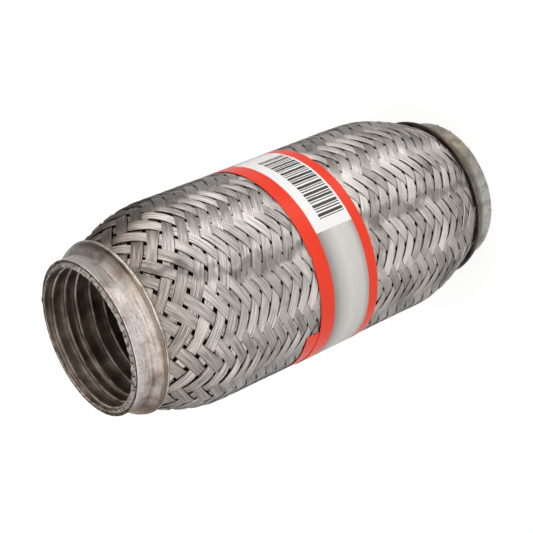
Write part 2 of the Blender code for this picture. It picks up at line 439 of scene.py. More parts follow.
def braidFace(height):
    # outer radius of the sleeve: narrow under the collars, rounding out to its full width
    depth = np.minimum(height, pipeLength - height)
    leaving = sleeve["cuffRadius"] + collar["flareRise"]
    shoulder = np.where(height > middle, sleeve["shoulder"]["upper"], sleeve["shoulder"]["lower"])
    bulge = np.sin(0.5 * math.pi * np.clip((depth - collarLength) / shoulder, 0.0, 1.0))
    outside = leaving + (braidRadius - leaving) * bulge
    return np.where(depth < collarLength, sleeve["cuffRadius"] + flareAt(depth), outside)


def stationHeight(step, half):
    away = np.abs(step)
    ease = sleeve["openingEase"]
    opened = sleeve["opening"][half] * ease * np.log1p(np.exp((away - sleeve["openingStart"]) / ease))
    return middle + sleeve["centre"] + np.sign(step) * (sleeve["halfPitch"][half] * away + opened)


def stationRise(step, half):
    away = np.abs(step)
    opened = 1.0 / (1.0 + np.exp((sleeve["openingStart"] - away) / sleeve["openingEase"]))
    return sleeve["halfPitch"][half] + sleeve["opening"][half] * opened


def labelPress(angle, height):
    # 1 where the label squeezes the sleeve, 0 elsewhere
    swept = (label["start"] - np.degrees(angle)) % 360.0
    high = pipeLength - label["drop"] - label["skew"] * swept / 360.0
    low = high - label["width"] - np.where(swept < label["overlap"], label["skew"], 0.0)
    edge = 1.0
    return smoothStep((height - low + edge) / edge) * smoothStep((high + edge - height) / edge)


def drawOut(bm, section, halfPitches):
    # draws a section out along y
    bmesh.ops.spin(
        bm,
        geom=section,
        cent=(0.0, 0.0, 0.0),
        axis=(0.0, 0.0, 1.0),
        dvec=(0.0, 1.0 / sleeve["samples"], 0.0),
        angle=0.0,
        steps=halfPitches * sleeve["samples"],
    )


def flatStrand(half):
    # one strand laid out flat: x across and z up in millimetres, y along in half pitches
    wires, width = sleeve["wires"], sleeve["strandWidth"]
    bm = bmesh.new()
    section = []
    for i in range(2 * wires + 1):
        rise = sleeve["wireRise"] if i % 2 else 0.0
        section.append(bm.verts.new(((0.5 * i / wires - 0.5) * width, 0.0, rise)))
    for side in (0.5, -0.5):
        section.append(bm.verts.new((side * width, 0.0, -sleeve["underside"])))
    edges = [bm.edges.new(pair) for pair in zip(section, section[1:] + section[:1])]
    drawOut(bm, section + edges, sleeve["halfSteps"][half])
    edgeAt = 0.5 * width + sleeve["looseGap"]
    for side in (-1.0, 1.0):
        start = sleeve["halfSteps"][half] - sleeve["looseSteps"] if half == "upper" else 0.0
        place = Matrix.Translation((side * edgeAt, start, 0.0)) @ rotation(90.0, "X")
        ring = bmesh.ops.create_circle(bm, segments=6, radius=sleeve["looseRadius"], matrix=place)["verts"]
        drawOut(bm, ring + list({edge for vert in ring for edge in vert.link_edges}), sleeve["looseSteps"])
    bmesh.ops.holes_fill(bm, edges=bm.edges, sides=0)
    faceOut(bm)
    # the furrows between wires are creases, the wires themselves stay round
    for edge in bm.edges:
        first, second = edge.verts
        lengthwise = abs(first.co.y - second.co.y) > 0.01
        edge.smooth = not (lengthwise and max(first.co.z, second.co.z) < 0.5 * sleeve["wireRise"])
    layer = bm.loops.layers.uv.new("strand")
    stepLength = math.hypot(sleeve["halfPitch"][half], braidRadius * rowAngle)
    for face in bm.faces:
        face.smooth = True
        for loop in face.loops:
            isLoose = abs(loop.vert.co.x) > 0.5 * width
            across = sleeve["looseCoordinate"] if isLoose else loop.vert.co.x
            loop[layer].uv = (across, loop.vert.co.y * stepLength)
    return meshOf(bm, "flat strand")


def drift(random, step, speeds):
    # slow wandering of each strand along its length, between -1 and 1
    starts = [random.uniform(0.0, 2.0 * math.pi, (sleeve["strands"], 1)) for speed in speeds]
    return sum(np.sin(speed * step + start) for speed, start in zip(speeds, starts)) / len(speeds)


def laidUp(flat, lay, half, seed):
    # where each point of the flat strands lies once they are woven; lay is 1 or -1, the way they climb
    across, step, lift = flat[:, :, 0], flat[:, :, 1], flat[:, :, 2]
    random = np.random.default_rng(seed)
    speeds = sleeve["driftSpeeds"]
    nearCollar = np.abs(step / sleeve["halfSteps"][half]) ** sleeve["onset"]
    stray = sleeve["wander"] + (sleeve["wanderAtCollar"] - sleeve["wander"]) * nearCollar
    flatness = (across / (0.5 * sleeve["strandWidth"])) ** 2
    spread = sleeve["spread"] + (sleeve["spreadAtCollar"] - sleeve["spread"]) * nearCollar
    fan = spread * drift(random, step, speeds["fan"])
    isLoose = np.abs(across) > 0.5 * sleeve["strandWidth"] + 0.001
    swerve = drift(random, step + 3.0 * (across > 0.0), speeds["loose"])
    leaning = np.sign(across) * sleeve["looseSwing"] * swerve
    inner = np.abs(np.abs(step) - sleeve["halfSteps"][half] + sleeve["looseSteps"])
    across = np.where(isLoose, across + leaning, across * (1.0 + fan + sleeve["fanned"] * nearCollar))
    dive = sleeve["looseLift"] - sleeve["looseDive"] * np.clip(1.0 - inner, 0.0, 1.0)
    lift = np.where(isLoose, lift + dive, lift)
    across = across + stray * drift(random, step, speeds["wander"])
    across = across + sleeve["shiver"] * stray * drift(random, step + 0.9 * across, speeds["shiver"])
    lean = math.radians(sleeve["roll"]) * drift(random, step, speeds["lean"])

    starts = 2 * np.arange(sleeve["strands"])[:, None] + 1
    row = step + starts
    centreHeight = stationHeight(step, half)
    slope = 0.5 * (braidFace(centreHeight + 1.0) - braidFace(centreHeight - 1.0))
    stretch = np.sqrt(1.0 + slope ** 2)
    radius = braidFace(centreHeight)
    arc, climb = radius * rowAngle, stationRise(step, half) * stretch
    length = np.hypot(arc, climb)
    turned = np.radians(sleeve["rowTurn"] + sleeve["twist"] * centreHeight / pipeLength)
    angle = lay * (rowAngle * row + across * climb / (length * radius)) + turned
    height = centreHeight - across * arc / (length * stretch)

    # over two and under two: the dive follows the edge of the strand it passes
    skewed = row + 0.5 * across * (climb / arc - arc / climb) / length
    overCentre = 2.5 if lay > 0 else 3.5
    wave = np.cos(0.5 * math.pi * (skewed - overCentre))
    wave = np.tanh(sleeve["squareness"] * wave) / math.tanh(sleeve["squareness"])
    depth = np.minimum(height, pipeLength - height)
    swing = sleeve["swing"] * smoothStep((depth - sleeve["swingStart"]) / sleeve["swingEase"])
    sunk = sleeve["swing"] + sleeve["wireRise"] + label["press"] * labelPress(angle, height)
    out = swing * wave + lift - sleeve["camber"] * flatness + across * np.tan(lean) - sunk

    radial = braidFace(height) + out / stretch
    height = height - out * slope / stretch
    return np.stack([radial * np.cos(angle), radial * np.sin(angle), height], axis=-1) * mm


def weave(name, lay, half, material):
    stock = flatStrand(half)
    bm = bmesh.new()
    for i in range(sleeve["strands"]):
        bm.from_mesh(stock)
    mesh = meshOf(bm, name)
    bpy.data.meshes.remove(stock)

    flat = np.zeros(3 * len(mesh.vertices), np.float32)
    mesh.vertices.foreach_get("co", flat)
    flat = flat.reshape(sleeve["strands"], -1, 3).astype(float)
    if half == "lower":
        flat[:, :, 1] -= sleeve["halfSteps"][half]
    points = laidUp(flat, lay, half, sleeve["seed"] + lay)
    mesh.vertices.foreach_set("co", setAside(points.reshape(-1, 3)).astype(np.float32).ravel())
    if lay < 0:
        mesh.flip_normals()

    random = np.random.default_rng(sleeve["seed"] + 10 * lay + len(name))
    tone = np.repeat(random.uniform(0.0, 1.0, sleeve["strands"]), flat.shape[1])
    mesh.attributes.new("tone", "FLOAT", "POINT").data.foreach_set("value", tone.astype(np.float32))
    layer = mesh.uv_layers["strand"]
    places = np.zeros(2 * len(mesh.loops), np.float32)
    layer.uv.foreach_get("vector", places)
    places = places.reshape(sleeve["strands"], -1, 2)
    places[:, :, 0] += sleeve["stagger"] * np.arange(sleeve["strands"])[:, None]
    layer.uv.foreach_set("vector", places.ravel())
    mesh.materials.append(material)
    mesh.update()
    piece = addObject(name, mesh)
    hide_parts("wire_braid")
    bendWith(piece, half == "upper")


def setCurve(node, points):
    curve = node.mapping.curves[0]
    for place, value in points[1:-1]:
        curve.points.new(place, value)
    curve.points[0].location, curve.points[-1].location = points[0], points[-1]
    node.mapping.update()


def darkReflection(tree):
    # a wavy dark line along the side that faces the camera: a painted dark reflection
    place, axes = placeOn(tree)
    waves = clouded(tree, place, cellsOf(6.0), 2.0)
    wavy = calculated(tree, "MULTIPLY_ADD", waves, sleeve["darkReflectionWaves"], turnOf(tree, axes))
    height = calculated(tree, "DIVIDE", axes["Z"], pipeLength * mm)
    bend = addNode(tree, "ShaderNodeFloatCurve", inputs={"Value": height})
    setCurve(bend, [(share, 1.0 + angle / 180.0) for share, angle in sleeve["darkReflection"]])
    meanWave = 0.5 * sleeve["darkReflectionWaves"]
    course = ranged(tree, bend.outputs["Value"], 0.0, 1.0, meanWave - math.pi, meanWave)
    apart = calculated(tree, "ABSOLUTE", calculated(tree, "SUBTRACT", wavy, course))
    return ranged(tree, apart, 0.02, 0.1, sleeve["darkReflectionTone"], 1.0, "SMOOTHSTEP")


def darkenedByCollar(tree, colour):
    # the colour made darker beside the upper collar, and more so on one side
    axes = placeOn(tree)[1]
    turn = ranged(tree, turnOf(tree, axes), -math.pi, math.pi)
    for darkening in (sleeve["darkening"], sleeve["sideDarkening"]):
        low, high = (pipeLength - darkening["to"]) * mm, (pipeLength - darkening["from"]) * mm
        share = ranged(tree, axes["Z"], low, high, kind="SMOOTHSTEP")
        colour = blended(tree, share, colour, ramped(tree, turn, darkening["tints"]), "MULTIPLY")
    return colour


def wireSteel():
    # drawn stainless wire: bright and streaked along its length, each strand a little lighter or darker
    material, tree, shader = newMaterial("drawn stainless wire", "#c9c4bf", 1.0, 0.3, anisotropic=0.6)
    uv = addNode(tree, "ShaderNodeUVMap", {"uv_map": "strand"}).outputs["UV"]
    tone = addNode(tree, "ShaderNodeAttribute", {"attribute_name": "tone"}).outputs["Fac"]
    wiresPerMm = sleeve["wires"] / sleeve["strandWidth"]
    along = addNode(tree, "ShaderNodeMapping", inputs={"Vector": uv, "Scale": (wiresPerMm, 0.1, 1.0)})
    streaks = clouded(tree, along.outputs["Vector"], 1.0, 3.0)
    # the streaks are fainter towards the lower end, where the wires lie tidier
    height, meanStreak = placeOn(tree)[1]["Z"], 0.52
    untidy = ranged(tree, height, 0.3 * pipeLength * mm, 0.9 * pipeLength * mm, 0.5, 0.95, "SMOOTHSTEP")
    centred = calculated(tree, "SUBTRACT", streaks, meanStreak)
    scaled = calculated(tree, "MULTIPLY_ADD", centred, untidy, meanStreak)
    colour = ramped(tree, calculated(tree, "MULTIPLY_ADD", tone, 0.08, scaled), sleeve["wireTones"])
    # painted shade: a dark line in each furrow between two wires, stronger where the wires have come apart
    across = addNode(tree, "ShaderNodeSeparateXYZ", inputs={"Vector": uv}).outputs["X"]
    fromCrown = calculated(tree, "PINGPONG", calculated(tree, "MULTIPLY", across, wiresPerMm), 0.5)
    loose = ranged(tree, clouded(tree, uv, 0.22, 1.0), 0.42, 0.68, 0.5, 0.06)
    furrowShade = ranged(tree, fromCrown, 0.5, 0.25, loose, 1.0, "SMOOTHSTEP")
    # painted shade along both edges of a strand, for the dark slits between strands
    fromMiddle = calculated(tree, "PINGPONG", across, 0.5 * sleeve["stagger"])
    edge = 0.5 * sleeve["strandWidth"]
    strandEdgeShade = ranged(tree, fromMiddle, edge - 0.11, edge - 0.05, 1.0, 0.45)
    shade = multiplied(tree, multiplied(tree, furrowShade, darkReflection(tree)), strandEdgeShade)
    tree.links.new(darkenedByCollar(tree, multiplied(tree, colour, shade)), shader.inputs["Base Color"])
    tree.links.new(ranged(tree, streaks, 0.3, 0.8, 0.36, 0.24), shader.inputs["Roughness"])
    tangent = addNode(tree, "ShaderNodeTangent", {"direction_type": "UV_MAP", "uv_map": "strand"})
    tree.links.new(tangent.outputs["Tangent"], shader.inputs["Tangent"])
    return material


print("woven sleeve")
wire = wireSteel()
for half in ("lower", "upper"):
    for lay, hand in ((1, "right"), (-1, "left")):
        weave(f"braid_{half}_{hand}_lay", lay, half, wire)


# Collars
def collarOutline():
    # (radius, depth below the mouth): round the outside from the mouth to the hem, then back up the inside
    mouth, sheet, barrel = collar["mouthRadius"], collar["sheet"], collar["barrel"]
    outline = [(mouth - sheet + aside, depth) for aside, depth in collar["innerCorner"]]
    outline += [(mouth + aside, depth) for aside, depth in collar["outerCorner"]]
    outline += [(mouth, barrel * share) for share in (0.25, 0.5, 0.75)]
    flareSteps, hemSteps = collar["flareSteps"], collar["hemSteps"]
    reach = [barrel + collar["flareLength"] * i / flareSteps for i in range(flareSteps + 1)]
    outline += [(mouth + float(flareAt(depth)), depth) for depth in reach]
    flareRadius, hemStart = mouth + collar["flareRise"], collar["hemStart"]
    for i in range(1, hemSteps + 1):
        bead = (crestRadius - flareRadius) * math.sin(math.pi * i / hemSteps)
        outline.append((flareRadius + bead, hemStart + (collarLength - hemStart) * i / hemSteps))
    outline += [(mouth + float(flareAt(depth)) - sheet, depth) for depth in [collarLength] + reach[::-2]]
    return outline


def dented(bm):
    # pressed rings are never quite round: long shallow waves and a few small dents
    for vert in bm.verts:
        out = Vector((vert.co.x, vert.co.y, 0.0)).normalized()
        broad = noise.noise(Vector((out.x, out.y, 0.02 / mm * vert.co.z)) * 1.7)
        small = noise.noise(vert.co / mm * 0.28 + Vector((9.0, 4.0, 1.0)))
        vert.co += out * (collar["dents"] * mm * (broad + 0.7 * small))


def makeCollar(name, node, body, atTop, materials):
    bm = bmesh.new()
    outline = collarOutline()
    if atTop:
        outline = [(radius, pipeLength - depth) for radius, depth in outline]
    lathe(bm, outline, collar["sides"])
    endHeight = (pipeLength - 0.1) * mm if atTop else 0.1 * mm
    for face in bm.faces:
        above = face.calc_center_median().z > endHeight
        face.material_index = int(above == atTop)
    dented(bm)
    faceOut(bm)
    piece = finishPiece(bm, name, materials, sharpAngle=50.0)
    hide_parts(node)
    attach(piece, body)


def collarSteel():
    # pressed stainless sheet, welded at the mouth: satin, finely scratched, browned by heat towards the
    # hem, with painted shade lines and a painted highlight on the hem in its bands, and painted shade on
    # one side of the upper collar
    material, tree, shader = newMaterial("pressed stainless sheet, heat tinted", "#b5aea7", 1.0, 0.34)
    place, axes = placeOn(tree)
    patches = clouded(tree, place, cellsOf(8.0), 6.0)
    patchTone = ramped(tree, patches, collar["patchTones"])
    grain = clouded(tree, place, cellsOf(0.8), 2.0)
    grainTone = ramped(tree, grain, [(0.35, "#eae8e5"), (0.6, "#ffffff")])

    # bands that follow the depth below the mouth, made wavy by the patches
    away = calculated(tree, "ABSOLUTE", calculated(tree, "SUBTRACT", axes["Z"], middle * mm))
    waves = collar["bandWaves"]
    wavy = calculated(tree, "MULTIPLY_ADD", patches, -waves * mm, away)
    mouth = middle - 0.5 * waves
    depth = ranged(tree, wavy, mouth * mm, (mouth - collarLength) * mm)
    # tints and painted shade that follow the turn round the ring, made ragged in the same way
    waves = collar["turnWaves"]
    ragged = calculated(tree, "MULTIPLY_ADD", patches, waves, turnOf(tree, axes))
    turn = ranged(tree, ragged, 0.5 * waves - math.pi, 0.5 * waves + math.pi)
    isUpper = calculated(tree, "GREATER_THAN", axes["Z"], middle * mm)
    isShaded = calculated(tree, "MULTIPLY", ramped(tree, turn, collar["shadedTurn"]), isUpper)
    bands = [ramped(tree, depth, collar[which]) for which in ("lowerBands", "upperBands", "shadedBands")]
    band = blended(tree, isShaded, blended(tree, isUpper, bands[0], bands[1]), bands[2])
    tints = [ramped(tree, turn, collar[which]) for which in ("lowerTints", "upperTints")]
    ringTint = blended(tree, isUpper, *tints)

    # scratches run round the ring
    fine = (cellsOf(6.0), cellsOf(6.0), cellsOf(0.4))
    around = addNode(tree, "ShaderNodeMapping", inputs={"Vector": place, "Scale": fine})
    scratches = clouded(tree, around.outputs["Vector"], 1.0, 6.0)
    scratchTone = ramped(tree, scratches, [(0.34, "#d6d2cf"), (0.43, "#f8f7f6"), (0.48, "#ffffff")])
    colour = multiplied(tree, multiplied(tree, band, grainTone), ringTint)
    colour = multiplied(tree, colour, multiplied(tree, patchTone, scratchTone))
    tree.links.new(colour, shader.inputs["Base Color"])
    bumped(tree, shader, scratches, 0.45, 0.12)
    tree.links.new(ranged(tree, scratches, 0.35, 0.65, 0.2, 0.36), shader.inputs["Roughness"])
    return material


def burntEdge():
    # the sheet's end, left brown by the weld beside it
    stops = [(0.36, "#3a3029"), (0.5, "#5d4f44"), (0.68, "#92816f")]
    return mottledSteel("sheet end, burnt brown", "#6b5c50", 0.55, 3.0, 3.0, stops)[0]


print("collars")
sheet = [collarSteel(), burntEdge()]
makeCollar("collar_upper", "upper_collar", "upper_end", True, sheet)
makeCollar("collar_lower", "lower_collar", "lower_end", False, sheet)


# Rims: inside each collar the layers end in a fused, ragged ring that slopes outwards, with a few burrs
rim = {
    "inner": 22.85,
    "outer": 24.2,
    "offset": 0.45,           # the ring's bore lies this far to the side away from the camera
    "proud": 0.5,
    "slope": 0.75,
    "depth": 1.6,
    "corner": 0.15,           # the crown's corners
    "bevel": 0.12,
    "outerBevel": 0.05,
    "outerCorner": 0.1,
    "crownSteps": 6,
    "boreLine": 0.6,          # a row of points that parts the dark bore from the bright crown
    "roughness": 0.15,
    "sides": 420,
    "burrLength": 1.6,
    "burrRadius": 0.22,
    "upperBurrs": [128.0],
    "lowerBurrs": [-33.5, -47.0, -68.5, -101.5, -121.0],
    "dropAngle": 48.5,        # a drop of weld on the open end's edge
    "dropRadius": 0.55,
    "dropStretch": 3.2,
}


def onRim(angle, aside, depth):
    # a place beside the upper mouth's edge, turned to face outwards
    reach = Matrix.Translation(((collar["mouthRadius"] + aside) * mm, 0.0, (pipeLength - depth) * mm))
    return rotation(angle, "Z") @ reach


def makeRim(name, body, atTop, burrs, materials):
    # built on the upper end; the lower one is turned over at the end
    inner, outer, deep = rim["inner"], rim["outer"], rim["depth"]
    proud, slope, bevel, crown = rim["proud"], rim["slope"], rim["bevel"], rim["crownSteps"]
    outline = [(inner, deep), (inner, rim["boreLine"])]
    outline += [(inner, rim["corner"] - proud), (inner + bevel, -proud)]
    reach = outer - inner - bevel - rim["outerBevel"]
    outline += [(inner + bevel + reach * i / crown, slope * i / crown - proud) for i in range(1, crown + 1)]
    outline += [(outer, slope - proud + rim["outerCorner"]), (outer, deep)]
    bm = bmesh.new()
    lathe(bm, [(radius, pipeLength - depth) for radius, depth in outline], rim["sides"])
    for face in bm.faces:
        centre = face.calc_center_median() / mm
        inward = math.hypot(centre.x, centre.y) < inner + 0.05
        face.material_index = int(inward and centre.z < pipeLength + proud - 0.4)
    for vert in bm.verts:
        place = vert.co / mm
        exposed = max(0.0, 1.0 - (pipeLength + proud - place.z) / (deep + proud))
        ragged = rim["roughness"] * mm * exposed
        coarse = noise.noise(place * 0.9)
        fine = noise.noise(place * 2.6 + Vector((3.0, 7.0, 1.0)))
        vert.co.z += ragged * (1.4 * coarse + fine - 0.3)
        out = Vector((vert.co.x, vert.co.y, 0.0)).normalized()
        vert.co += out * (0.6 * ragged * noise.noise(place * 1.8))
        nearBore = max(0.0, 1.0 - (math.hypot(place.x, place.y) - inner) / (outer - inner))
        vert.co.y += rim["offset"] * mm * nearBore
    for angle in burrs:
        bmesh.ops.create_cone(
            bm,
            cap_ends=True,
            segments=8,
            radius1=rim["burrRadius"] * mm,
            radius2=0.3 * rim["burrRadius"] * mm,
            depth=rim["burrLength"] * mm,
            matrix=onRim(angle, 0.1, 0.45) @ rotation(90.0, "Y"),
        )
    if atTop:
        place = onRim(rim["dropAngle"], 0.3, 0.7) @ Matrix.Diagonal((1.0, rim["dropStretch"], 1.2, 1.0))
        drop = bmesh.ops.create_icosphere(bm, subdivisions=2, radius=rim["dropRadius"] * mm, matrix=place)
        for face in {face for vert in drop["verts"] for face in vert.link_faces}:
            face.material_index = 2
            face.smooth = True
    else:
        bmesh.ops.transform(bm, matrix=rotation(180.0, "X"), space=Matrix(), verts=bm.verts)
        bmesh.ops.translate(bm, vec=(0.0, 0.0, pipeLength * mm), verts=bm.verts)
    faceOut(bm)
    piece = finishPiece(bm, name, materials, sharpAngle=70.0)
    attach(piece, body)


def cutSteel():
    # sheared and fused steel edges: bright grains among dark pits
    stops = [(0.36, "#4f4943"), (0.46, "#989189"), (0.66, "#c9c3bb")]
    material, tree, shader, grains = mottledSteel("sheared steel edge", "#b5b0aa", 0.42, 1.25, 3.0, stops)
    bumped(tree, shader, grains, 0.5, 0.2)
    return material


# Liner: strip wound into a tube, brown with burnt oil, the folded edge of each turn painted lighter as its
# highlight
liner = {
    "radius": 22.5,
    "land": 22.9,
    "pitch": 4.5,
    "lip": 0.25,
    "lipSteps": 5,
    "fold": 0.95,             # a second, lower edge this far before each lip
    "lipHeight": 147.8,       # where a lip stands on the wall opposite the camera
    "lipAngle": 90.0,
    "slackHeight": 139.3,     # one turn sits closer to its neighbour
    "slack": 0.75,
    "slackReach": 2.2,
    "uneven": 0.25,
    "offsetReach": 14.0,      # the liner follows the ring's bore aside over this length
    "wall": 0.3,
    "sides": 120,
    "recess": 0.35,
}


def boreOffset(height):
    # how far the bore lies aside: most at both ends, not at all in the middle
    fromEnd = min(height, pipeLength - height)
    return rim["offset"] * float(smoothStep(1.0 - fromEnd / liner["offsetReach"]))


def unevenTurns(bm):
    for vert in bm.verts:
        height = vert.co.z / mm
        slack = liner["slack"] * math.exp(-(((height - liner["slackHeight"]) / liner["slackReach"]) ** 2))
        ripple = liner["uneven"] * noise.noise(vert.co / mm * 0.11 + Vector((5.0, 2.0, 8.0)))
        vert.co.z += (slack + ripple) * mm
        vert.co.y += boreOffset(height) * mm


def makeLiner(name, low, high, upper, materials):
    pitch, lip, fold = liner["pitch"], liner["lip"], liner["fold"]
    phase = (liner["lipHeight"] - pitch * liner["lipAngle"] / 360.0) % pitch
    first = math.floor((low - phase) / pitch) - 2
    last = math.ceil((high - phase) / pitch) + 2
    inside, land = liner["radius"], liner["land"]
    steps = liner["lipSteps"]
    outline = []
    for i in range(first, last):
        base = phase + i * pitch
        for turn in [math.pi * j / steps for j in range(steps + 1)]:
            height = base + 0.5 * lip * (1.0 - math.cos(turn))
            outline.append((land - (land - inside) * math.sin(turn), height))
        outline += [(land, base + fold - 0.1), (land - 0.05, base + fold), (land, base + fold + 0.1)]
        outline += [(land + 0.12, base + 0.55 * pitch), (land, base + pitch - 0.3)]
    bm = bmesh.new()
    lathe(bm, outline, liner["sides"], closed=False, rise=pitch)
    unevenTurns(bm)
    cutAt(bm, low, -1.0)
    cutAt(bm, high, 1.0)
    # the lips take the lighter copy of the strip, a painted highlight
    for face in bm.faces:
        centre = face.calc_center_median() / mm
        face.material_index = int(math.hypot(centre.x, centre.y - boreOffset(centre.z)) < land - 0.12)
    thicken(bm, liner["wall"])
    piece = finishPiece(bm, name, materials, sharpAngle=60.0)
    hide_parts("interlock_liner")
    bendWith(piece, upper)


def stripSteel():
    # rolled strip with burnt oil on it: dull dark brown, duller where the oil is thick
    stops = [(0.35, "#65584f"), (0.52, "#7d7066"), (0.68, "#978b80")]
    material, tree, shader, shadedTurn = mottledSteel("oiled rolled strip", "#8a7b6e", 0.48, 6.0, 5.0, stops)
    tree.links.new(ranged(tree, shadedTurn, 0.35, 0.65, 0.42, 0.52), shader.inputs["Roughness"])
    return material


def lipSteel():
    # the same strip on its folded edge, painted lighter as a highlight, less so in places
    stops = [(0.36, "#978a7c"), (0.5, "#d0c5b8"), (0.64, "#f0e8dc")]
    return mottledSteel("strip edge, painted highlight", "#b8a897", 0.42, 5.0, 3.0, stops)[0]


print("liner and rims")
strip = [stripSteel(), lipSteel()]
cutEdge = [cutSteel(), strip[0], sheet[1]]
makeRim("rim_upper", "upper_end", True, rim["upperBurrs"], cutEdge)
makeRim("rim_lower", "lower_end", False, [-angle for angle in rim["lowerBurrs"]], cutEdge)
makeLiner("liner_lower", liner["recess"], middle, False, strip)
makeLiner("liner_upper", middle, pipeLength - liner["recess"], True, strip)

# Bellows: the gas-tight tube under the sleeve, in deep round folds, only glimpsed through the weave
bellows = {
    "cuffRadius": 23.45,
    "root": 24.25,
    "crest": 31.6,
    "cuffEnd": 9.6,
    # a half-formed fold: radius, and depth below the end
    "shoulder": [(25.7, 10.8), (26.4, 12.5), (26.9, 15.0), (26.4, 19.0), (25.0, 25.0)],
    "foldStart": 30.7,
    "folds": 10,
    "pointsPerFold": 16,
    "sides": 96,
    "sheet": 0.2,
    "recess": 0.35,
}


def foldRadius(share):
    # a round crest and a round root, with steep sides between
    swing = math.sin(2.0 * math.pi * share - 0.5 * math.pi)
    swing = math.copysign(abs(swing) ** 0.6, swing)
    return bellows["root"] + 0.5 * (bellows["crest"] - bellows["root"]) * (1.0 + swing)


def makeBellows(name, upper, material):
    pitch = (middle - bellows["foldStart"]) / (0.5 * bellows["folds"])
    points = int(0.5 * bellows["folds"]) * bellows["pointsPerFold"]
    outline = [(bellows["cuffRadius"], bellows["recess"]), (bellows["cuffRadius"], bellows["cuffEnd"])]
    outline += bellows["shoulder"]
    for i in range(points + 1):
        share = i / bellows["pointsPerFold"]
        outline.append((foldRadius(share), bellows["foldStart"] + share * pitch))
    if upper:
        outline = [(radius, pipeLength - height) for radius, height in outline]
    bm = bmesh.new()
    lathe(bm, outline, bellows["sides"], closed=False)
    thicken(bm, bellows["sheet"])
    piece = finishPiece(bm, name, [material])
    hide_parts("bellows")
    bendWith(piece, upper)


def bellowsSteel():
    # thin sheet pressed into folds, painted almost black as shade, so that it stays dark between the
    # strands
    stops = [(0.3, "#1d1a18"), (0.7, "#3a3632")]
    return mottledSteel("formed stainless sheet, painted dark as shade", "#4a4642", 0.5, 11.0, 2.0, stops)[0]


print("bellows")
formed = bellowsSteel()
makeBellows("bellows_lower", False, formed)
makeBellows("bellows_upper", True, formed)


# Label
def makeLabel(material):
    # a flat grid, one cell a degree long and about a millimetre wide, wrapped round the sleeve
    sweep, width = labelSweep, label["width"]
    bm = bmesh.new()
    bmesh.ops.create_grid(bm, x_segments=24, y_segments=round(sweep), size=0.5)
    layer = bm.loops.layers.uv.new("print")
    for face in bm.faces:
        for loop in face.loops:
            loop[layer].uv = (loop.vert.co.y + 0.5, loop.vert.co.x + 0.5)
    for vert in bm.verts:
        swept = (vert.co.y + 0.5) * sweep
        across = (vert.co.x + 0.5) * width
        angle = label["start"] - swept
        lapped = float(smoothStep((swept - label["lapStart"]) / label["lapEase"]))
        height = pipeLength - label["drop"] - width - label["skew"] * swept / 360.0 + across
        # the film sinks a little between the strands
        row = (angle - sleeve["rowTurn"] - sleeve["twist"] * height / pipeLength) / math.degrees(rowAngle)
        step = (height - middle - sleeve["centre"]) / sleeve["halfPitch"]["upper"]
        ripple = -label["relief"] * math.cos(math.pi * row) * math.cos(math.pi * step)
        radius = label["radius"] + ripple + 2.0 * label["film"] * lapped
        for place, side, depth in label["nicks"]:
            if abs(swept - place) < 0.8 and abs(vert.co.x + 0.5 - side) < 0.01:
                height += depth * (1.0 - 2.0 * side)
        around = math.radians(angle)
        vert.co = Vector((radius * math.cos(around), radius * math.sin(around), height)) * mm
    thicken(bm, -label["film"])
    piece = finishPiece(bm, "label_film", [material])
    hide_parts("label_band")
    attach(piece, "flex_core")


def within(tree, value, low, high, inside, outside):
    # one tone from low to high, another on both sides
    return ramped(tree, value, [(0.0, outside), (low, inside), (high, outside)], "CONSTANT")


def printedFilm():
    # glossy printed polyester film: red borders, a silver field and a white panel with plain bars
    material, tree, shader = newMaterial("printed polyester film", "#f03c20", 0.0, 0.2)
    black, white = "#000000", "#ffffff"
    width, sweep = label["width"], labelSweep
    uv = addNode(tree, "ShaderNodeUVMap", {"uv_map": "print"}).outputs["UV"]
    split = addNode(tree, "ShaderNodeSeparateXYZ", inputs={"Vector": uv}).outputs
    along, across = split["X"], split["Y"]
    low, high = label["lowerBorder"] / width, 1.0 - label["upperBorder"] / width
    border = within(tree, across, low, high, black, white)
    # the silver field is shaded towards both borders
    places = (low, low + 0.09, 0.48, high - 0.13, high)
    silver = ramped(tree, across, list(zip(places, label["silver"])))
    panel = within(tree, along, label["panelStart"] / sweep, label["panelEnd"] / sweep, white, black)
    # the bars: groups of wide and narrow ones, within a stretch along the strip and one across it
    start, end = label["barStart"] / sweep, label["barEnd"] / sweep
    inGroup = calculated(tree, "FRACT", ranged(tree, along, start, end, 0.0, label["barGroups"]))
    barStops = []
    for left, right in label["bars"]:
        barStops += [(left, label["barTone"]), (right, white)]
    bars = ramped(tree, inGroup, barStops, "CONSTANT")
    besideAlong = within(tree, along, start, end, black, white)
    besideAcross = within(tree, across, label["barLow"] / width, label["barHigh"] / width, black, white)
    beside = calculated(tree, "MAXIMUM", besideAlong, besideAcross)
    printed = blended(tree, beside, bars, hexColour(white))
    field = blended(tree, panel, silver, multiplied(tree, hexColour(label["panelTone"]), printed))
    whole = blended(tree, border, field, hexColour(label["red"]))
    tree.links.new(whole, shader.inputs["Base Color"])
    return material


print("label")
makeLabel(printedFilm())


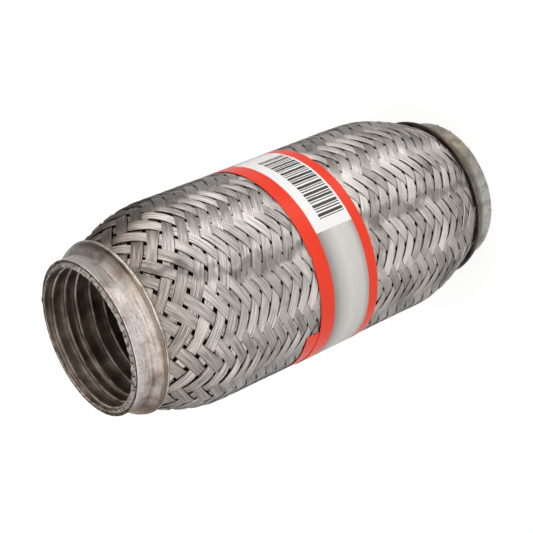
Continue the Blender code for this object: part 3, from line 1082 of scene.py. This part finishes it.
# Studio: a white floor, two soft lamps and the camera
view = {
    "place": (0.0, -401.2, 347.4),
    "aim": (-1.0, 0.0, 80.7),
    "roll": -113.58,
    "lens": 100.154,
    "sensor": 36.0,
}
lamps = {
    "key_lamp": {"turn": -50.0, "climb": 35.0, "distance": 1000.0, "size": 700.0, "power": 0.9},
    "fill_lamp": {"turn": -160.0, "climb": 25.0, "distance": 1100.0, "size": 800.0, "power": 0.5},
}
studio = {
    "front": (-105.0, 20.0),          # turn and climb of the bright side of the room
    "frontTone": [
        (0.0, "#9c9c9c"), (0.37, "#b0b0b0"), (0.63, "#c4c4c4"), (0.86, "#e1e1e1"), (1.0, "#ffffff"),
    ],
    "window": (-20.0, 15.0),          # a soft box beside it
    "windowTone": [(0.9, "#000000"), (0.985, "#f0f0f0")],
    "light": 1.55,
    "paper": "#959595",
    "paperGlow": 0.76,
    "floorFront": -103.0,
    "floorTone": [
        (0.0, "#a0a0a0"), (0.29, "#c2c2c2"), (0.56, "#d4d4d4"), (0.81, "#dddddd"), (0.96, "#ffffff"),
    ],
    "gleam": -46.0,                   # a narrow bright strip of floor
    "gleamTone": [(0.975, "#000000"), (0.996, "#ffffff")],
    "gleamLevel": 0.7,
    "glare": -58.0,                   # a wider, fainter one
    "glareTone": [(0.974, "#c4c4c4"), (0.988, "#ffffff")],
    "floorGlow": 0.8,
}


def makeCamera():
    data = bpy.data.cameras.new("camera")
    data.lens = view["lens"]
    data.sensor_width = view["sensor"]
    data.clip_start, data.clip_end = 0.01, 20.0
    camera = addObject("camera", data)
    place = Vector(view["place"]) * mm
    facing = (Vector(view["aim"]) * mm - place).to_track_quat("-Z", "Y").to_matrix().to_4x4()
    camera.matrix_world = Matrix.Translation(place) @ facing @ rotation(view["roll"], "Z")
    bpy.context.scene.camera = camera


def heading(turn, climb):
    around, up = math.radians(turn), math.radians(climb)
    return Vector((math.cos(up) * math.cos(around), math.cos(up) * math.sin(around), math.sin(up)))


def makeLamp(name, values):
    data = bpy.data.lights.new(name, "AREA")
    data.size = values["size"] * mm
    data.energy = values["power"]
    lamp = addObject(name, data)
    away = heading(values["turn"], values["climb"])
    place = away * values["distance"] * mm + Vector((0.0, 0.0, middle * mm))
    lamp.matrix_world = Matrix.Translation(place) @ (-away).to_track_quat("-Z", "Y").to_matrix().to_4x4()
    lamp.visible_camera = False


def showsBackground(tree):
    # is it a camera ray, and does it show the background: from the camera, off metal or through glass
    path = addNode(tree, "ShaderNodeLightPath").outputs
    off = calculated(tree, "MAXIMUM", path["Is Glossy Ray"], path["Is Transmission Ray"])
    return path["Is Camera Ray"], calculated(tree, "MAXIMUM", path["Is Camera Ray"], off)


def sideTone(tree, direction, turn, climb, stops):
    # a tone by how far a direction lies from the one named
    towards = vectored(tree, "DOT_PRODUCT", direction, heading(turn, climb))["Value"]
    return ramped(tree, ranged(tree, towards, -1.0, 1.0), stops)


def whiteToCamera(tree, isCamera, tone):
    return blended(tree, isCamera, tone, hexColour("#ffffff"))


def makeWorld():
    # white to the camera; to the object a room that is bright in front, with a soft box, and greyer behind
    world = bpy.data.worlds.new("studio")
    bpy.context.scene.world = world
    world.use_nodes = True
    tree = world.node_tree
    direction = addNode(tree, "ShaderNodeTexCoord").outputs["Generated"]
    isCamera = addNode(tree, "ShaderNodeLightPath").outputs["Is Camera Ray"]
    room = sideTone(tree, direction, *studio["front"], studio["frontTone"])
    window = sideTone(tree, direction, *studio["window"], studio["windowTone"])
    tone = whiteToCamera(tree, isCamera, blended(tree, 1.0, room, window, "ADD"))
    background = tree.nodes["Background"]
    tree.links.new(tone, background.inputs["Color"])
    tree.links.new(ranged(tree, isCamera, 0.0, 1.0, studio["light"], 1.0), background.inputs["Strength"])


def floorTone(tree, place):
    # what metal mirrors of the floor: bright in front, with two strips brighter still, and greyer behind
    level = vectored(tree, "NORMALIZE", place)["Vector"]
    front = sideTone(tree, level, studio["floorFront"], 0.0, studio["floorTone"])
    glare = sideTone(tree, level, studio["glare"], 0.0, studio["glareTone"])
    gleam = sideTone(tree, level, studio["gleam"], 0.0, studio["gleamTone"])
    brighter = vectored(tree, "MULTIPLY_ADD", gleam, [studio["gleamLevel"]] * 3, [1.0] * 3)["Vector"]
    return multiplied(tree, front, multiplied(tree, glare, brighter))


def makeFloor():
    bm = bmesh.new()
    bmesh.ops.create_grid(bm, x_segments=1, y_segments=1, size=4.0)
    mesh = meshOf(bm, "floor")
    floor = addObject("floor", mesh)
    material = bpy.data.materials.new("white paper sweep")
    material.use_nodes = True
    tree = material.node_tree
    tree.nodes.remove(tree.nodes["Principled BSDF"])
    place = placeOn(tree)[0]
    isCamera, shown = showsBackground(tree)
    tone = whiteToCamera(tree, isCamera, floorTone(tree, place))
    level = ranged(tree, isCamera, 0.0, 1.0, studio["floorGlow"], studio["paperGlow"])
    strength = calculated(tree, "MULTIPLY", shown, level)
    paper = addNode(tree, "ShaderNodeBsdfDiffuse", inputs={"Color": hexColour(studio["paper"])})
    glow = addNode(tree, "ShaderNodeEmission", inputs={"Color": tone, "Strength": strength})
    shaders = {0: paper.outputs["BSDF"], 1: glow.outputs["Emission"]}
    both = addNode(tree, "ShaderNodeAddShader", inputs=shaders)
    tree.links.new(both.outputs["Shader"], tree.nodes["Material Output"].inputs["Surface"])
    mesh.materials.append(material)


print("studio")
makeCamera()
for name, values in lamps.items():
    makeLamp(name, values)
makeWorld()
makeFloor()
bpy.context.scene.view_settings.view_transform = "Standard"
